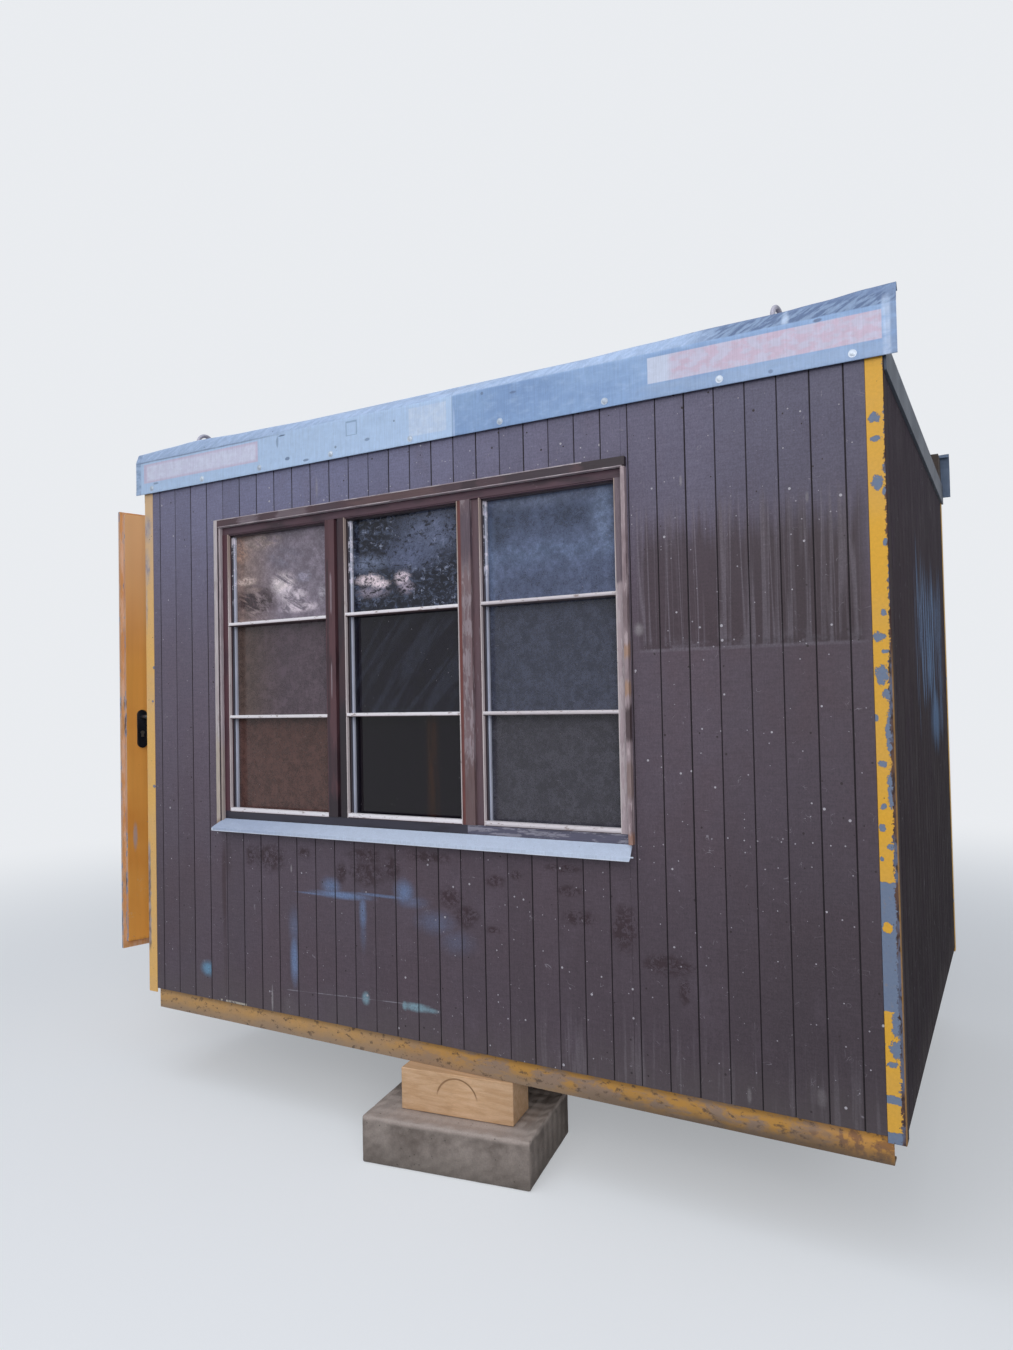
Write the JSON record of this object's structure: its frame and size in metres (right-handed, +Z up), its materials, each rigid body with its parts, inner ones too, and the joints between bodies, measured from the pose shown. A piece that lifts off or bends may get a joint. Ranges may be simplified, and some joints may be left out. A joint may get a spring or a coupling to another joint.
{
  "type": "portable site cabin",
  "caption": "Small portable site cabin with timber cladding on a steel frame, a three-light window, an outward-opening steel door and a flat roof, standing on block supports.",
  "frame": {"origin": "on the level floor that the supports stand on, under the middle of the cabin's corner posts", "axes": "+X along the window side towards its right end, +Y from the window side to the back, +Z up"},
  "size_m": [3.3869, 2.4774, 2.8259],
  "materials": {
    "yellow_steel": "chipped gloss paint over grey primer",
    "cladding": "weathered stain on profiled boards",
    "zinc": "weathered zinc coating",
    "roofing": "matt roofing felt",
    "roof_timber": "bare weathered timber",
    "lining": "plain board lining",
    "floor": "worn boards",
    "window_timber": "peeling stain",
    "glass": "clear, dusty",
    "door_paint": "semi-gloss paint",
    "black_plastic": "satin",
    "lock_metal": "dull",
    "steel": "dull zinc",
    "sawn_timber": "fresh sawn",
    "concrete": "rough cast",
    "trim": "weathered dark paint"
  },
  "bodies": {
    "cabin": {"concrete_blocks": "concrete", "timber_blocks": "sawn_timber", "base_beam_front": "yellow_steel", "base_beam_back": "yellow_steel", "base_cross_beams": "yellow_steel", "floor_joists": "roof_timber", "floor_deck": "floor", "post_front_left": "yellow_steel", "post_front_right": "yellow_steel", "post_back_left": "yellow_steel", "post_back_right": "yellow_steel", "door_jamb_front": "yellow_steel", "door_jamb_rear": "yellow_steel", "door_head": "yellow_steel", "door_threshold": "yellow_steel", "front_wall_left": "cladding", "front_wall_right": "cladding", "front_wall_below": "cladding", "front_wall_above": "cladding", "back_wall": "cladding", "right_wall": "cladding", "left_wall": "cladding", "left_wall_over_door": "cladding", "ceiling": "lining", "roof_deck": "roofing", "roof_beam_front": "roof_timber", "roof_beam_back": "roof_timber", "fascia_front": "zinc", "fascia_back": "zinc", "side_trims": "trim", "lifting_eyes": "steel", "window_frame": "window_timber", "sash_left": "window_timber", "sash_middle": "window_timber", "sash_right": "window_timber", "window_panes": "glass", "window_sill": "zinc", "window_casing": "window_timber", "hinge_pins": "steel"},
    "door": {"door_leaf": "door_paint", "handle_plates": "black_plastic", "key_cylinder": "lock_metal", "hinge_knuckles": "steel"},
    "lever": {"lever_handles": "black_plastic"}
  },
  "joints": [
    {"name": "door_swing", "type": "hinge", "parent": "cabin", "child": "door", "pos_m": [-1.573, -0.274, 1.5], "axis": [0, 0, -1], "range_deg": [-15, 95]},
    {"name": "lever_turn", "type": "hinge", "parent": "door", "child": "lever", "pos_m": [-1.71524, -0.98646, 1.585], "axis": [-0.9659, 0.2588, 0], "range_deg": [0, 40], "stiffness_Nm_per_rad": 1.2, "springref_deg": -20.05}
  ]
}
